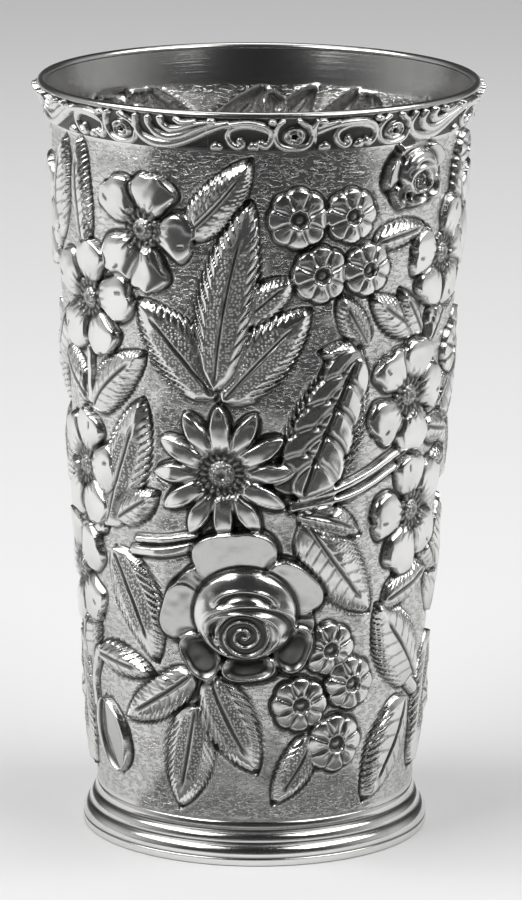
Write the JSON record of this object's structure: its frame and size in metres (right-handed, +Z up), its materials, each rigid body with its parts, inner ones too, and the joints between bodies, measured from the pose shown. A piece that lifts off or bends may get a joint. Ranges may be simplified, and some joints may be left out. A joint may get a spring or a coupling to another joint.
{
  "type": "julep cup",
  "caption": "Tall tapered silver julep cup with chased repousse flowers and leaves, a cast floral border round the flared lip and a stepped foot ring.",
  "frame": {"origin": "centre of the circle on which the foot stands on the table", "axes": "+Z up along the cup's axis; the pictured side faces -Y"},
  "size_m": [0.0784, 0.0784, 0.135],
  "materials": {
    "polished_silver": "polished",
    "plain_silver": "satin",
    "chased_silver": "chased relief, dark in the recesses",
    "cast_silver": "cast relief, dark in the recesses"
  },
  "bodies": {
    "root": {"foot_ring": "polished_silver", "bottom_disc": "plain_silver", "body_wall": "chased_silver", "rim_border": "cast_silver", "lip_wire": "polished_silver"}
  },
  "joints": []
}
